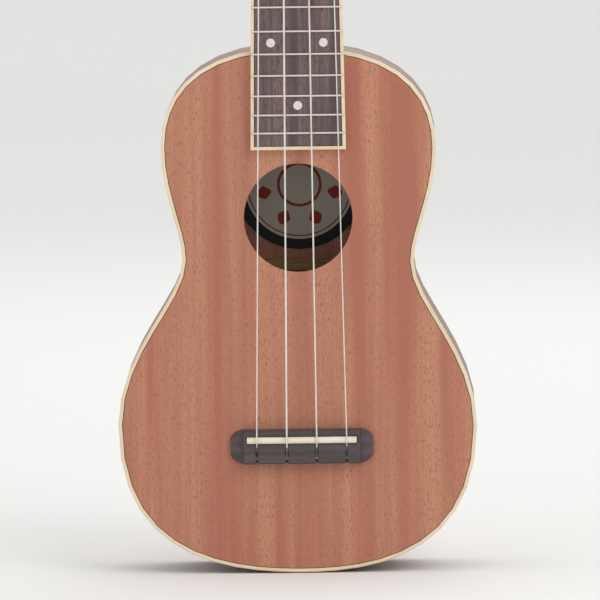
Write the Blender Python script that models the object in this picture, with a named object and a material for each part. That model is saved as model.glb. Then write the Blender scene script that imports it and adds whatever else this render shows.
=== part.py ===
"""A soprano ukulele, from the bent sides and braces of its body to its geared tuning machines.

+Z runs up the strings from the bridge to the headstock, the front faces -Y, and +X is on the right
seen from the front. The origin is on the back of the neck under the nut, where a wall hanger holds
it. The strings and what belongs to them are named g, c, e and a from left to right. Lengths are in
metres and angles in radians.
"""

import math

import bmesh
import bpy
from mathutils import Vector

# Clearances
GAP = 0.0003  # between pieces that are glued or seated on each other
FRET_GAP = 0.00015  # under a fret's crown
RUNNING_GAP = 0.0003  # round shafts, posts and windings

# Scale and frets
SCALE_LENGTH = 0.349
COMPENSATION = 0.0015  # the saddle stands this much past the scale length
FRET_COUNT = 16
BODY_JOINT_FRET = 12
FRET_WIDTH = 0.0014
FRET_HEIGHT = 0.0008
FRET_END_INSET = 0.0005  # from the fretboard's edge to the end of the crown
FRET_END_BEVEL = 0.0006
TANG_WIDTH = 0.0005
TANG_DEPTH = 0.0018

# Strings, from left to right
STRING_NAMES = ("g", "c", "e", "a")
STRING_DIAMETERS = (0.00064, 0.00086, 0.00076, 0.00056)
NUT_STRING_SPREAD = 0.0295  # between the outer strings
SADDLE_STRING_SPREAD = 0.041
NUT_STRING_HEIGHT = 0.0064  # underside of the strings above the soundboard's plane
SADDLE_STRING_HEIGHT = 0.0094
STRING_SIDES = 6
WINDING_TURNS = 3
WINDING_STEPS = 9  # points in a turn
WINDING_CLEARANCE = 0.00045  # between neighbouring turns
WINDING_HEIGHT = 0.0042  # lowest turn above the headstock's face
KNOT_RADIUS = 0.00105
KNOT_HEIGHT = 0.0027  # above the soundboard
KNOT_SETBACK = 0.0082  # behind the saddle's middle

# Neck
NECK_THICKNESS = 0.013  # wood behind the fretboard at the nut
NECK_THICKNESS_AT_HEEL = 0.0145
NECK_SQUARENESS = 2.1  # 2 is a half ellipse, more is boxier
HEEL_LENGTH = 0.044
HEEL_DEPTH = 0.049
HEEL_CAP_LENGTH = 0.0075
HEEL_SWEEP = 2.5
HEEL_SQUARENESS = 2.5
NECK_SECTION_STEPS = 16

# Fretboard and nut
FRETBOARD_THICKNESS = 0.0045
FRETBOARD_END_WIDTH = 0.0434
FRETBOARD_OVERHANG = 0.0436  # past the body joint fret, over the soundboard
FRETBOARD_BINDING = 0.0015
NUT_WIDTH = 0.038
NUT_THICKNESS = 0.005
NUT_GROOVE_DEPTH = 0.0004
NUT_CREST_LENGTH = 0.0018
NUT_BACK_HEIGHT = 0.0042

# Headstock, in a frame that leans back from the nut
HEAD_ANGLE = math.radians(12)
HEAD_THICKNESS = 0.011
HEAD_SQUARENESS = 12
HEAD_MARGIN = 0.0018  # wood beside the tuner plates
HEAD_FLARE = 0.0018  # how much wider each side is at the top
HEAD_CROWN_MARGIN = 0.0185  # wood above the upper tuner plates
HEAD_ARCH = 0.0065  # rise of the arched top edge
SHOULDER_LENGTH = 0.015  # from the nut to full width

# Body, in a frame on its own centre line at the body joint
BODY_SKEW = math.radians(0.8)  # the body's centre line leans this much off the strings
BODY_SIDE_STEP = 0.00056
BODY_TOP_Z = 0.0029
BODY_TAIL_Z = -0.2372
BODY_DEPTH_AT_JOINT = 0.054
BODY_DEPTH_AT_TAIL = 0.062
LOWER_BOUT_WIDTH = 0.1637
LOWER_BOUT_Z = -0.170
WAIST_WIDTH = 0.10545
WAIST_Z = -0.0945
UPPER_BOUT_WIDTH = 0.12535
UPPER_BOUT_Z = -0.0425
TAIL_ROUNDING = 0.0308  # lengths of the outline's curve handles
LOWER_BOUT_FALL = 0.062
LOWER_BOUT_RISE = 0.0345
WAIST_FALL = 0.019
WAIST_RISE = 0.01345
UPPER_BOUT_FALL = 0.0226
UPPER_BOUT_RISE = 0.02355
TOP_ROUNDING = 0.0473
OUTLINE_STEPS = (11, 8, 7, 9)  # points in each curve of the outline, from the tail up
SOUNDBOARD_THICKNESS = 0.002
BACK_THICKNESS = 0.002
SIDE_THICKNESS = 0.0019
BODY_BINDING_WIDTH = 0.0016
BODY_BINDING_HEIGHT = 0.0026
BODY_BINDING_BEVEL = 0.0004
LINING_WIDTH = 0.0044
LINING_HEIGHT = 0.007
LINING_FOOT = 0.0025  # height of a lining's inner edge
BLOCK_LEDGE = 0.0003  # what is left of the lining behind a block
SOUNDHOLE_RADIUS = 0.0248
SOUNDHOLE_Z = -0.0749
NECK_BLOCK_WIDTH = 0.048
NECK_BLOCK_LENGTH = 0.016
TAIL_BLOCK_WIDTH = 0.044
TAIL_BLOCK_LENGTH = 0.012
BRACE_WIDTH = 0.0065
BRACE_HEIGHT = 0.008
BRACE_TIP = 0.0022
BRACE_SCOOP = 0.017
UPPER_BRACE_Z = -0.0405
LOWER_BRACE_Z = -0.1085
UPPER_BACK_BRACE_Z = -0.026
LOWER_BACK_BRACE_Z = -0.1008
PATCH_WIDTH = 0.074
PATCH_LENGTH = 0.022
PATCH_THICKNESS = 0.0018
LABEL_RADIUS = 0.030
LABEL_THICKNESS = 0.0004
LABEL_Z = -0.063

# Bridge, along the strings from the saddle's middle
BRIDGE_WIDTH = 0.065
BRIDGE_BLOCK_WIDTH = 0.0533
BRIDGE_FRONT = 0.0046  # ahead of the saddle's middle
BRIDGE_BACK = 0.0109
BRIDGE_HEIGHT = 0.0075
BRIDGE_WING_HEIGHT = 0.0036
BRIDGE_TIP_HEIGHT = 0.0022
BRIDGE_BEVEL = 0.0007
SADDLE_WIDTH = 0.050
SADDLE_THICKNESS = 0.003
SADDLE_SLOT_FLOOR = 0.004
SADDLE_STRING_GAP = 0.0002
SLOT_START = 0.0042  # behind the saddle's middle
SLOT_FLOOR = 0.0012
SLOT_CLEARANCE = 0.0003
POCKET_WIDTH = 0.003
POCKET_START = 0.0062
POCKET_HEIGHT = 0.0031

# Tuning machines: x, y and z of their own frames run outwards, backwards and up the headstock
TUNER_X = 0.018
TUNER_Z = {"g": 0.034, "c": 0.070, "e": 0.070, "a": 0.034}
TUNER_SIDE = {"g": -1, "c": -1, "e": 1, "a": 1}
GEAR_TEETH = 14
GEAR_PITCH_RADIUS = 0.004
GEAR_THICKNESS = 0.003
ADDENDUM = 0.0005
DEDENDUM = 0.00073
TOOTH_WIDTH = 0.0007  # at the pitch circle, of the gear's teeth and the worm's thread
PRESSURE_ANGLE = math.radians(20)
WORM_PITCH_RADIUS = 0.0022
WORM_TURNS = 4
WORM_SIDES = 12
SHAFT_RADIUS = 0.0013
SHAFT_COLLAR_RADIUS = 0.0019
PLATE_THICKNESS = 0.001
PLATE_WIDTH = 0.0132
PLATE_BEYOND_WORM = 0.0073  # from the worm's axis to the plate's end
PLATE_BEYOND_POST = 0.0095
LUG_THICKNESS = 0.0012
LUG_WIDTH = 0.005
POST_RADIUS = 0.0029
POST_WAIST_RADIUS = 0.0022
POST_FOOT_RADIUS = 0.0015
POST_RISE = 0.0125  # above the headstock's face
POST_HOLE_RADIUS = 0.0008
GEAR_SCREW_RADIUS = 0.0023
GEAR_SCREW_HEIGHT = 0.001
BUSHING_RADIUS = 0.0048
BUSHING_HEIGHT = 0.001
BUTTON_START = 0.0125  # from the post's axis
BUTTON_LENGTH = 0.0125
BUTTON_WIDTH = 0.0145
BUTTON_THICKNESS = 0.0072
BUTTON_SOCKET = 0.006
TURNED_SIDES = 14

SMOOTH_ANGLE = math.radians(35)

# Places that follow from the sizes above
TOP_Y = -NECK_THICKNESS  # the soundboard's face and the neck's glue face
BOARD_Y = TOP_Y - GAP - FRETBOARD_THICKNESS  # the fretboard's playing face
SADDLE_Z = -(SCALE_LENGTH + COMPENSATION)
LINING_REACH = SIDE_THICKNESS + LINING_WIDTH
WORM_OUTER_RADIUS = WORM_PITCH_RADIUS + ADDENDUM
WORM_ROOT_RADIUS = WORM_PITCH_RADIUS - DEDENDUM
PLATE_TOP = GAP + PLATE_THICKNESS
WORM_Y = PLATE_TOP + RUNNING_GAP + WORM_OUTER_RADIUS
WORM_Z = -(GEAR_PITCH_RADIUS + WORM_PITCH_RADIUS)
TOOTH_PITCH = 2 * math.pi * GEAR_PITCH_RADIUS / GEAR_TEETH
THREAD_HALF_LENGTH = TOOTH_PITCH * (WORM_TURNS / 2 + 0.25) + TOOTH_WIDTH
LUG_START = THREAD_HALF_LENGTH + RUNNING_GAP


def fret_z(number):
    """Distance of a fret below the nut, by the equal-tempered rule."""
    return -SCALE_LENGTH * (1 - 2 ** (-number / 12))


JOINT_Z = fret_z(BODY_JOINT_FRET)
FRETBOARD_END_Z = JOINT_Z - FRETBOARD_OVERHANG


def mix(a, b, share):
    """A value part of the way from a to b."""
    return a + (b - a) * share


# Scene, materials and meshes
def clear_scene():
    """Remove whatever the scene holds."""
    for obj in list(bpy.data.objects):
        bpy.data.objects.remove(obj, do_unlink=True)


def make_material(name, color, roughness, metallic=0.0):
    """A plain Principled material."""
    material = bpy.data.materials.new(name)
    material.use_nodes = True
    material.diffuse_color = (*color, 1.0)
    shader = material.node_tree.nodes["Principled BSDF"]
    shader.inputs["Base Color"].default_value = (*color, 1.0)
    shader.inputs["Roughness"].default_value = roughness
    shader.inputs["Metallic"].default_value = metallic
    return material


def make_materials():
    """The materials by name, with linear colours."""
    return {
        "mahogany": make_material("satin_mahogany", (0.42, 0.18, 0.11), 0.45),
        "neck_wood": make_material("satin_neck_mahogany", (0.33, 0.14, 0.08), 0.45),
        "rosewood": make_material("oiled_rosewood", (0.12, 0.075, 0.075), 0.55),
        "spruce": make_material("bare_spruce", (0.55, 0.38, 0.20), 0.7),
        "binding": make_material("cream_binding", (0.78, 0.66, 0.49), 0.35),
        "bone": make_material("polished_bone", (0.82, 0.76, 0.62), 0.3),
        "nickel": make_material("nickel_silver", (0.72, 0.70, 0.66), 0.22, 1.0),
        "steel": make_material("plated_steel", (0.62, 0.62, 0.60), 0.28, 1.0),
        "brass": make_material("brass_gear", (0.70, 0.50, 0.22), 0.3, 1.0),
        "nylon": make_material("clear_nylon", (0.85, 0.84, 0.82), 0.25),
        "button": make_material("ivory_plastic", (0.80, 0.72, 0.56), 0.3),
        "paper": make_material("label_paper", (0.70, 0.62, 0.50), 0.8),
    }


def make_empty(name, parent, location, rotation=(0.0, 0.0, 0.0)):
    """A frame that other pieces hang on."""
    empty = bpy.data.objects.new(name, None)
    bpy.context.collection.objects.link(empty)
    empty.parent = parent
    empty.location = location
    empty.rotation_euler = rotation
    return empty


def make_object(name, shape, material, parent=None):
    """An object from (points, faces), with its faces turned outwards."""
    points, faces = shape
    mesh = bpy.data.meshes.new(name)
    mesh.from_pydata([tuple(point) for point in points], [], faces)
    work = bmesh.new()
    work.from_mesh(mesh)
    bmesh.ops.recalc_face_normals(work, faces=work.faces)
    work.to_mesh(mesh)
    work.free()
    mesh.shade_smooth()
    mesh.set_sharp_from_angle(angle=SMOOTH_ANGLE)
    if material is not None:
        mesh.materials.append(material)
    obj = bpy.data.objects.new(name, mesh)
    bpy.context.collection.objects.link(obj)
    obj.parent = parent
    return obj


def make_tool(name, shape, parent=None):
    """A cutter or an addition for a Boolean, which is no piece of the instrument."""
    tool = make_object(name, shape, None, parent)
    tool.hide_render = True
    tool.display_type = "WIRE"
    return tool


def add_boolean(obj, tool, operation="DIFFERENCE"):
    """Cut or join an object with a tool."""
    modifier = obj.modifiers.new(tool.name, "BOOLEAN")
    modifier.operation = operation
    modifier.object = tool


def loft(rings, closed=False):
    """Points and faces of a skin over rings. An open one gets a cap at each end."""
    size = len(rings[0])
    points = [point for ring in rings for point in ring]
    faces = []
    spans = len(rings) if closed else len(rings) - 1
    for span in range(spans):
        low = span * size
        high = (span + 1) % len(rings) * size
        for i in range(size):
            j = (i + 1) % size
            faces.append((low + i, low + j, high + j, high + i))
    if not closed:
        faces.append(tuple(range(size)))
        faces.append(tuple(range(len(points) - size, len(points))))
    return points, faces


def joined(*shapes):
    """Several shapes as one list of points and faces."""
    points = []
    faces = []
    for shape_points, shape_faces in shapes:
        start = len(points)
        points += shape_points
        faces += [tuple(start + i for i in face) for face in shape_faces]
    return points, faces


def box(low, high):
    """A box between two corners."""
    bottom = [
        (low[0], low[1], low[2]),
        (high[0], low[1], low[2]),
        (high[0], high[1], low[2]),
        (low[0], high[1], low[2]),
    ]
    top = [(x, y, high[2]) for x, y, _ in bottom]
    return loft([bottom, top])


def circle(sides):
    """Unit vectors round a circle."""
    return [
        (math.cos(2 * math.pi * i / sides), math.sin(2 * math.pi * i / sides)) for i in range(sides)
    ]


def turned_y(profile, sides, center=(0.0, 0.0)):
    """A shape turned round an axis along Y, from (radius, y) pairs."""
    rings = [
        [(center[0] + r * c, y, center[1] + r * s) for c, s in circle(sides)] for r, y in profile
    ]
    return loft(rings)


def tube(path, radii, sides):
    """A tube along a path, carried on without twist from point to point."""
    path = [Vector(point) for point in path]
    steps = [(b - a).normalized() for a, b in zip(path, path[1:])]
    tangents = [steps[0]]
    tangents += [(a + b).normalized() for a, b in zip(steps, steps[1:])]
    tangents.append(steps[-1])
    across = tangents[0].orthogonal().normalized()
    rings = []
    for point, tangent, radius in zip(path, tangents, radii):
        across = (across - tangent * across.dot(tangent)).normalized()
        upright = tangent.cross(across)
        rings.append([point + (across * c + upright * s) * radius for c, s in circle(sides)])
    return loft(rings)


# Body outline
def outline_curves():
    """Control points of the right half of the outline, as four curves from the tail to the neck."""
    lower = LOWER_BOUT_WIDTH / 2
    waist = WAIST_WIDTH / 2
    upper = UPPER_BOUT_WIDTH / 2
    return (
        (
            (0.0, BODY_TAIL_Z),
            (TAIL_ROUNDING, BODY_TAIL_Z),
            (lower, LOWER_BOUT_Z - LOWER_BOUT_FALL),
            (lower, LOWER_BOUT_Z),
        ),
        (
            (lower, LOWER_BOUT_Z),
            (lower, LOWER_BOUT_Z + LOWER_BOUT_RISE),
            (waist, WAIST_Z - WAIST_FALL),
            (waist, WAIST_Z),
        ),
        (
            (waist, WAIST_Z),
            (waist, WAIST_Z + WAIST_RISE),
            (upper, UPPER_BOUT_Z - UPPER_BOUT_FALL),
            (upper, UPPER_BOUT_Z),
        ),
        (
            (upper, UPPER_BOUT_Z),
            (upper, UPPER_BOUT_Z + UPPER_BOUT_RISE),
            (TOP_ROUNDING, BODY_TOP_Z),
            (0.0, BODY_TOP_Z),
        ),
    )


def half_outline(inset):
    """(x, z) points of the right half from tail to neck, moved in from the outline by inset."""
    found = []
    for curve, steps in zip(outline_curves(), OUTLINE_STEPS):
        a, b, c, d = (Vector(point) for point in curve)
        for step in range(steps + (curve is outline_curves()[-1])):
            t = step / steps
            s = 1 - t
            point = a * s**3 + b * (3 * s * s * t) + c * (3 * s * t * t) + d * t**3
            along = (b - a) * s * s + (c - b) * (2 * s * t) + (d - c) * t * t
            along.normalize()
            found.append((point.x - along.y * inset, point.y + along.x * inset))
    end = Vector(outline_curves()[-1][-1])
    found.append((0.0, end.y - inset))
    found[0] = (0.0, BODY_TAIL_Z + inset)
    return found


def full_outline(inset):
    """(x, z) points all the way round."""
    right = half_outline(inset)
    left = [(-x, z) for x, z in reversed(right[1:-1])]
    return right + left


def half_width_at(z, inset):
    """Half the body's inner width at a height, inside a given inset."""
    right = half_outline(inset)
    widths = [0.0]
    for (xa, za), (xb, zb) in zip(right, right[1:]):
        if min(za, zb) <= z <= max(za, zb) and za != zb:
            widths.append(mix(xa, xb, (z - za) / (zb - za)))
    return max(widths)


def depth_at(z):
    """Depth of the body from the soundboard's face to the back's outer face."""
    return mix(BODY_DEPTH_AT_JOINT, BODY_DEPTH_AT_TAIL, z / BODY_TAIL_Z)


def front_lip(z):
    return GAP + SOUNDBOARD_THICKNESS


def back_lip(z):
    """Inner face of the back, less the glue gap."""
    return depth_at(z) - BACK_THICKNESS - GAP


def slab(outline, front, back):
    """A plate over an outline, between two faces given as functions of z."""
    return loft([[(x, front(z), z) for x, z in outline], [(x, back(z), z) for x, z in outline]])


# Body pieces
def side_section(x, z, lining):
    """One rib section at an outline point, as (inset, y) pairs: the wall with a lining at each edge."""
    lip = BODY_BINDING_HEIGHT + GAP
    front = front_lip(z)
    back = back_lip(z)
    rim = depth_at(z) - lip
    reach = SIDE_THICKNESS + lining
    foot = LINING_FOOT
    toe = LINING_HEIGHT if lining > BLOCK_LEDGE else LINING_FOOT + BLOCK_LEDGE
    return (
        (0.0, lip),
        (SIDE_THICKNESS, lip),
        (SIDE_THICKNESS, front),
        (reach, front),
        (reach, front + foot),
        (SIDE_THICKNESS, front + toe),
        (SIDE_THICKNESS, back - toe),
        (reach, back - foot),
        (reach, back),
        (SIDE_THICKNESS, back),
        (SIDE_THICKNESS, rim),
        (0.0, rim),
    )


def lining_widths(points):
    """Full width between the blocks, and only a ledge beside them, from one station past each block."""
    clear_tail = TAIL_BLOCK_WIDTH / 2 + GAP
    clear_neck = NECK_BLOCK_WIDTH / 2 + GAP
    widths = [LINING_WIDTH] * len(points)
    for i, (x, z) in enumerate(points):
        clear = clear_tail if i < len(points) / 2 else clear_neck
        if x < clear:
            for j in (i - 1, i, i + 1):
                widths[max(0, min(j, len(points) - 1))] = BLOCK_LEDGE
    return widths


def side_shape(side):
    """A bent side from the tail to the neck: the wall fused with its two linings."""
    outer = half_outline(0.0)
    inner = half_outline(LINING_REACH)
    rings = []
    for (xo, zo), (xi, zi), lining in zip(outer, inner, lining_widths(outer)):
        ring = []
        for inset, _ in side_section(xo, zo, lining):
            share = inset / LINING_REACH
            ring.append((max(mix(xo, xi, share), GAP / 2), mix(zo, zi, share)))
        section = [side_section(x, z, lining)[i][1] for i, (x, z) in enumerate(ring)]
        rings.append([(side * x, y, z) for (x, z), y in zip(ring, section)])
    return loft(rings)


def binding_shape(face, inwards):
    """A rectangular strip let into the body's edge. It starts at a face and goes inwards along y."""
    rings = []
    outer = full_outline(0.0)
    eased = full_outline(BODY_BINDING_BEVEL)
    inner = full_outline(BODY_BINDING_WIDTH)
    for (xo, zo), (xe, ze), (xi, zi) in zip(outer, eased, inner):
        rings.append(
            [
                (xe, face(ze), ze),
                (xi, face(zi), zi),
                (xi, face(zi) + inwards * BODY_BINDING_HEIGHT, zi),
                (xo, face(zo) + inwards * BODY_BINDING_HEIGHT, zo),
                (xo, face(zo) + inwards * BODY_BINDING_BEVEL, zo),
            ]
        )
    return loft(rings, closed=True)


def block_shape(width, length, at_neck):
    """A glue block: its outer face follows the side, the rest is square."""
    edge = half_outline(SIDE_THICKNESS + BLOCK_LEDGE + GAP)
    if at_neck:
        edge = edge[::-1]
    half = width / 2
    arc = [edge[0]]
    for (xa, za), (xb, zb) in zip(edge, edge[1:]):
        if xb >= half:
            arc.append((half, mix(za, zb, (half - xa) / (xb - xa))))
            break
        arc.append((xb, zb))
    inner_z = arc[0][1] + (-length if at_neck else length)
    outline = [(-x, z) for x, z in reversed(arc[1:])] + arc + [(half, inner_z), (-half, inner_z)]
    return slab(outline, front_lip, back_lip)


def brace_shape(z, on_back):
    """A rounded bar across a plate, with scooped ends tucked beside the linings."""
    half = BRACE_WIDTH / 2
    clear = LINING_REACH + GAP
    reach = min(half_width_at(z - half, clear), half_width_at(z + half, clear))
    rings = []
    for x, height in (
        (-reach, BRACE_TIP),
        (-reach + BRACE_SCOOP / 2, mix(BRACE_TIP, BRACE_HEIGHT, 0.4)),
        (-reach + BRACE_SCOOP, BRACE_HEIGHT),
        (reach - BRACE_SCOOP, BRACE_HEIGHT),
        (reach - BRACE_SCOOP / 2, mix(BRACE_TIP, BRACE_HEIGHT, 0.4)),
        (reach, BRACE_TIP),
    ):
        ring = []
        for across, rise in ((-1, 0), (1, 0), (1, 0.6), (0.45, 0.95), (-0.45, 0.95), (-1, 0.6)):
            station = z + across * half
            if on_back:
                y = back_lip(station) - rise * height
            else:
                y = front_lip(station) + rise * height
            ring.append((x, y, station))
        rings.append(ring)
    return loft(rings)


def build_body(materials, frame):
    """The hollow body with everything glued inside it."""
    mahogany = materials["mahogany"]
    plate_edge = BODY_BINDING_WIDTH + GAP
    board = make_object(
        "soundboard",
        slab(full_outline(plate_edge), lambda z: 0.0, lambda z: SOUNDBOARD_THICKNESS),
        mahogany,
        frame,
    )
    margin = SOUNDBOARD_THICKNESS
    hole = turned_y(
        ((SOUNDHOLE_RADIUS, -margin), (SOUNDHOLE_RADIUS, SOUNDBOARD_THICKNESS + margin)),
        40,
        (0.0, SOUNDHOLE_Z),
    )
    add_boolean(board, make_tool("soundhole_cutter", hole, frame))
    make_object(
        "back_plate",
        slab(full_outline(plate_edge), lambda z: depth_at(z) - BACK_THICKNESS, depth_at),
        mahogany,
        frame,
    )
    make_object("side_bass", side_shape(-1), mahogany, frame)
    make_object("side_treble", side_shape(1), mahogany, frame)
    make_object("binding_top", binding_shape(lambda z: 0.0, 1), materials["binding"], frame)
    make_object("binding_back", binding_shape(depth_at, -1), materials["binding"], frame)
    neck_block = block_shape(NECK_BLOCK_WIDTH, NECK_BLOCK_LENGTH, True)
    make_object("neck_block", neck_block, materials["neck_wood"], frame)
    tail_block = block_shape(TAIL_BLOCK_WIDTH, TAIL_BLOCK_LENGTH, False)
    make_object("tail_block", tail_block, materials["neck_wood"], frame)
    for name, z, on_back in (
        ("brace_top_upper", UPPER_BRACE_Z, False),
        ("brace_top_lower", LOWER_BRACE_Z, False),
        ("brace_back_upper", UPPER_BACK_BRACE_Z, True),
        ("brace_back_lower", LOWER_BACK_BRACE_Z, True),
    ):
        make_object(name, brace_shape(z, on_back), materials["spruce"], frame)
    patch_z = SADDLE_Z - JOINT_Z
    patch_front = front_lip(patch_z)
    patch = box(
        (-PATCH_WIDTH / 2, patch_front, patch_z - PATCH_LENGTH / 2),
        (PATCH_WIDTH / 2, patch_front + PATCH_THICKNESS, patch_z + PATCH_LENGTH / 2),
    )
    make_object("bridge_patch", patch, materials["spruce"], frame)
    disc = [(LABEL_RADIUS * c, LABEL_Z + LABEL_RADIUS * s) for c, s in circle(28)]
    label = slab(disc, lambda z: back_lip(z) - LABEL_THICKNESS, back_lip)
    make_object("label", label, materials["paper"], frame)


# Neck, fretboard and nut
def board_half_width(z):
    """Half the fretboard's width, binding included."""
    return mix(NUT_WIDTH, FRETBOARD_END_WIDTH, z / FRETBOARD_END_Z) / 2


def neck_ring(half_width, depth, squareness, place):
    """A flat front edge and a round back. place turns (x, y) of the section into a point."""
    ring = []
    for step in range(NECK_SECTION_STEPS + 1):
        angle = math.pi * step / NECK_SECTION_STEPS
        c = math.cos(angle)
        s = math.sin(angle)
        size = (abs(c) ** squareness + abs(s) ** squareness) ** (-1 / squareness)
        ring.append(place(half_width * c * size, depth * s * size))
    return ring


def on_neck(z):
    return lambda x, y: (x, TOP_Y + y, z)


def on_head(z):
    """Places a section of the leaning headstock, z up from the nut's back edge."""
    return lambda x, y: (
        x,
        TOP_Y + y * math.cos(HEAD_ANGLE) + z * math.sin(HEAD_ANGLE),
        NUT_THICKNESS + z * math.cos(HEAD_ANGLE) - y * math.sin(HEAD_ANGLE),
    )


def heel_rings():
    """Sections from inside the body joint up through the sweep of the heel."""
    rings = []
    sweep_length = HEEL_LENGTH - HEEL_CAP_LENGTH
    heel_start = JOINT_Z + HEEL_LENGTH
    foot = JOINT_Z - 2 * BODY_TOP_Z
    for z, share in [(foot, 1.0)] + [
        (heel_start - sweep_length * share, share) for share in (1, 0.94, 0.87, 0.78, 0.66, 0.5, 0.3)
    ]:
        sweep = share**HEEL_SWEEP
        depth = mix(NECK_THICKNESS_AT_HEEL, HEEL_DEPTH, sweep)
        squareness = mix(NECK_SQUARENESS, HEEL_SQUARENESS, sweep)
        rings.append(neck_ring(board_half_width(z), depth, squareness, on_neck(z)))
    return rings


def shaft_rings():
    """Sections of the slim part of the neck up to the nut."""
    heel_start = JOINT_Z + HEEL_LENGTH
    rings = []
    for share in (0.0, 0.25, 0.5, 0.75, 1.0):
        z = mix(heel_start, 0.0, share)
        depth = mix(NECK_THICKNESS_AT_HEEL, NECK_THICKNESS, share)
        rings.append(neck_ring(board_half_width(z), depth, NECK_SQUARENESS, on_neck(z)))
    return rings


def head_shoulder():
    """Half the headstock's width beside the tuner plates."""
    return TUNER_X + PLATE_WIDTH / 2 + HEAD_MARGIN


def head_length():
    return max(TUNER_Z.values()) + PLATE_BEYOND_POST + HEAD_CROWN_MARGIN


def head_rings():
    """Sections of the headstock, from behind the nut to the arched top."""
    neck_half = NUT_WIDTH / 2
    shoulder = head_shoulder()
    top = shoulder + HEAD_FLARE
    length = head_length()
    slope = (HEAD_THICKNESS, HEAD_THICKNESS)
    rings = [neck_ring(neck_half, mix(NECK_THICKNESS, HEAD_THICKNESS, 0.4), 2.6, on_neck(NUT_THICKNESS))]
    shoulders = (
        (0.25, 0.08, 3.2, 1.03),
        (0.5, 0.35, 5.0, 1.01),
        (0.75, 0.75, 8.0, 1.0),
        (1.0, 0.96, HEAD_SQUARENESS, 1.0),
    )
    for along, out, squareness, fullness in shoulders:
        half_width = mix(neck_half, shoulder, out)
        place = on_head(SHOULDER_LENGTH * along)
        rings.append(neck_ring(half_width, slope[0] * fullness, squareness, place))
    for along, half_width in (
        (SHOULDER_LENGTH * 1.5, shoulder),
        (length - HEAD_ARCH * 1.6, top),
        (length - HEAD_ARCH * 1.15, top * 0.985),
        (length - HEAD_ARCH * 0.8, top * 0.9),
        (length - HEAD_ARCH * 0.45, top * 0.7),
        (length - HEAD_ARCH * 0.15, top * 0.4),
        (length, top * 0.12),
    ):
        rings.append(neck_ring(half_width, HEAD_THICKNESS, HEAD_SQUARENESS, on_head(along)))
    return rings


def build_neck(materials, body_frame, head_frame):
    """Heel, shaft and headstock in one piece, with the tuners' bushings pressed into the head."""
    neck = make_object(
        "neck", loft(heel_rings() + shaft_rings() + head_rings()), materials["neck_wood"]
    )
    outside = full_outline(-GAP)
    reach = 2 * GAP
    joint = slab(outside, lambda z: -reach, lambda z: BODY_DEPTH_AT_TAIL)
    add_boolean(neck, make_tool("body_joint_cutter", joint, body_frame))
    flanges = []
    holes = []
    for name in STRING_NAMES:
        center = (TUNER_SIDE[name] * TUNER_X, TUNER_Z[name])
        flange = ((BUSHING_RADIUS, HEAD_THICKNESS / 4), (BUSHING_RADIUS, -BUSHING_HEIGHT))
        flanges.append(turned_y(flange, TURNED_SIDES, center))
        bore = POST_RADIUS + RUNNING_GAP
        ends = ((bore, HEAD_THICKNESS * 1.5), (bore, -HEAD_THICKNESS / 2))
        holes.append(turned_y(ends, TURNED_SIDES, center))
    add_boolean(neck, make_tool("bushing_flanges", joined(*flanges), head_frame), "UNION")
    add_boolean(neck, make_tool("post_hole_cutter", joined(*holes), head_frame))


def build_fretboard(materials):
    """The slotted fretboard and the binding round its sides and end."""
    wood_inset = FRETBOARD_BINDING + GAP
    low_z = FRETBOARD_END_Z + wood_inset
    kerf = TANG_WIDTH / 2 + GAP
    kerf_floor = BOARD_Y + TANG_DEPTH + GAP
    under = TOP_Y - GAP
    profile = [(low_z, under), (-GAP, under), (-GAP, BOARD_Y)]
    for number in range(1, FRET_COUNT + 1):
        z = fret_z(number)
        profile += [(z + kerf, BOARD_Y), (z + kerf, kerf_floor), (z - kerf, kerf_floor), (z - kerf, BOARD_Y)]
    profile.append((low_z, BOARD_Y))
    rings = []
    for side in (-1, 1):
        rings.append([(side * (board_half_width(z) - wood_inset), y, z) for z, y in profile])
    make_object("fretboard", loft(rings), materials["rosewood"])

    end_inner = FRETBOARD_END_Z + FRETBOARD_BINDING
    corners = []
    for side in (1, -1):
        corners.append((side * board_half_width(-GAP), -GAP))
        corners.append((side * board_half_width(FRETBOARD_END_Z), FRETBOARD_END_Z))
    outline = [corners[0], corners[1], corners[3], corners[2]]
    for side, start in ((-1, -GAP), (-1, end_inner), (1, end_inner), (1, -GAP)):
        outline.append((side * (board_half_width(start) - FRETBOARD_BINDING), start))
    strip = slab(outline, lambda z: BOARD_Y, lambda z: under)
    make_object("fretboard_binding", strip, materials["binding"])


def build_fret(number, materials):
    """A crown with bevelled ends over a tang that stops short of the binding."""
    z = fret_z(number)
    half = board_half_width(z)
    crown = half - FRET_END_INSET
    tang = half - FRETBOARD_BINDING - 2 * GAP
    base = BOARD_Y - FRET_GAP
    rings = []
    for x, height in (
        (-crown, 0.35),
        (-crown + FRET_END_BEVEL, 1.0),
        (-tang, 1.0),
        (tang, 1.0),
        (crown - FRET_END_BEVEL, 1.0),
        (crown, 0.35),
    ):
        rise = FRET_HEIGHT * height
        rings.append(
            [
                (x, base, z - FRET_WIDTH / 2),
                (x, base - 0.8 * rise, z - FRET_WIDTH / 4),
                (x, base - rise, z),
                (x, base - 0.8 * rise, z + FRET_WIDTH / 4),
                (x, base, z + FRET_WIDTH / 2),
                (x, base, z + TANG_WIDTH / 2),
                (x, base, z - TANG_WIDTH / 2),
            ]
        )
    points, faces = loft(rings)
    size = len(rings[0])
    seat = 2 * size
    root = (seat + size - 2, seat + size - 1, seat + 2 * size - 1, seat + 2 * size - 2)
    faces = [face for face in faces if set(face) != set(root)]
    foot = len(points)
    for index in root:
        x, y, station = points[index]
        points.append((x, y + TANG_DEPTH, station))
    for i in range(4):
        j = (i + 1) % 4
        faces.append((root[i], root[j], foot + j, foot + i))
    faces.append((foot, foot + 1, foot + 2, foot + 3))
    make_object(f"fret_{number:02d}", (points, faces), materials["nickel"])


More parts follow.
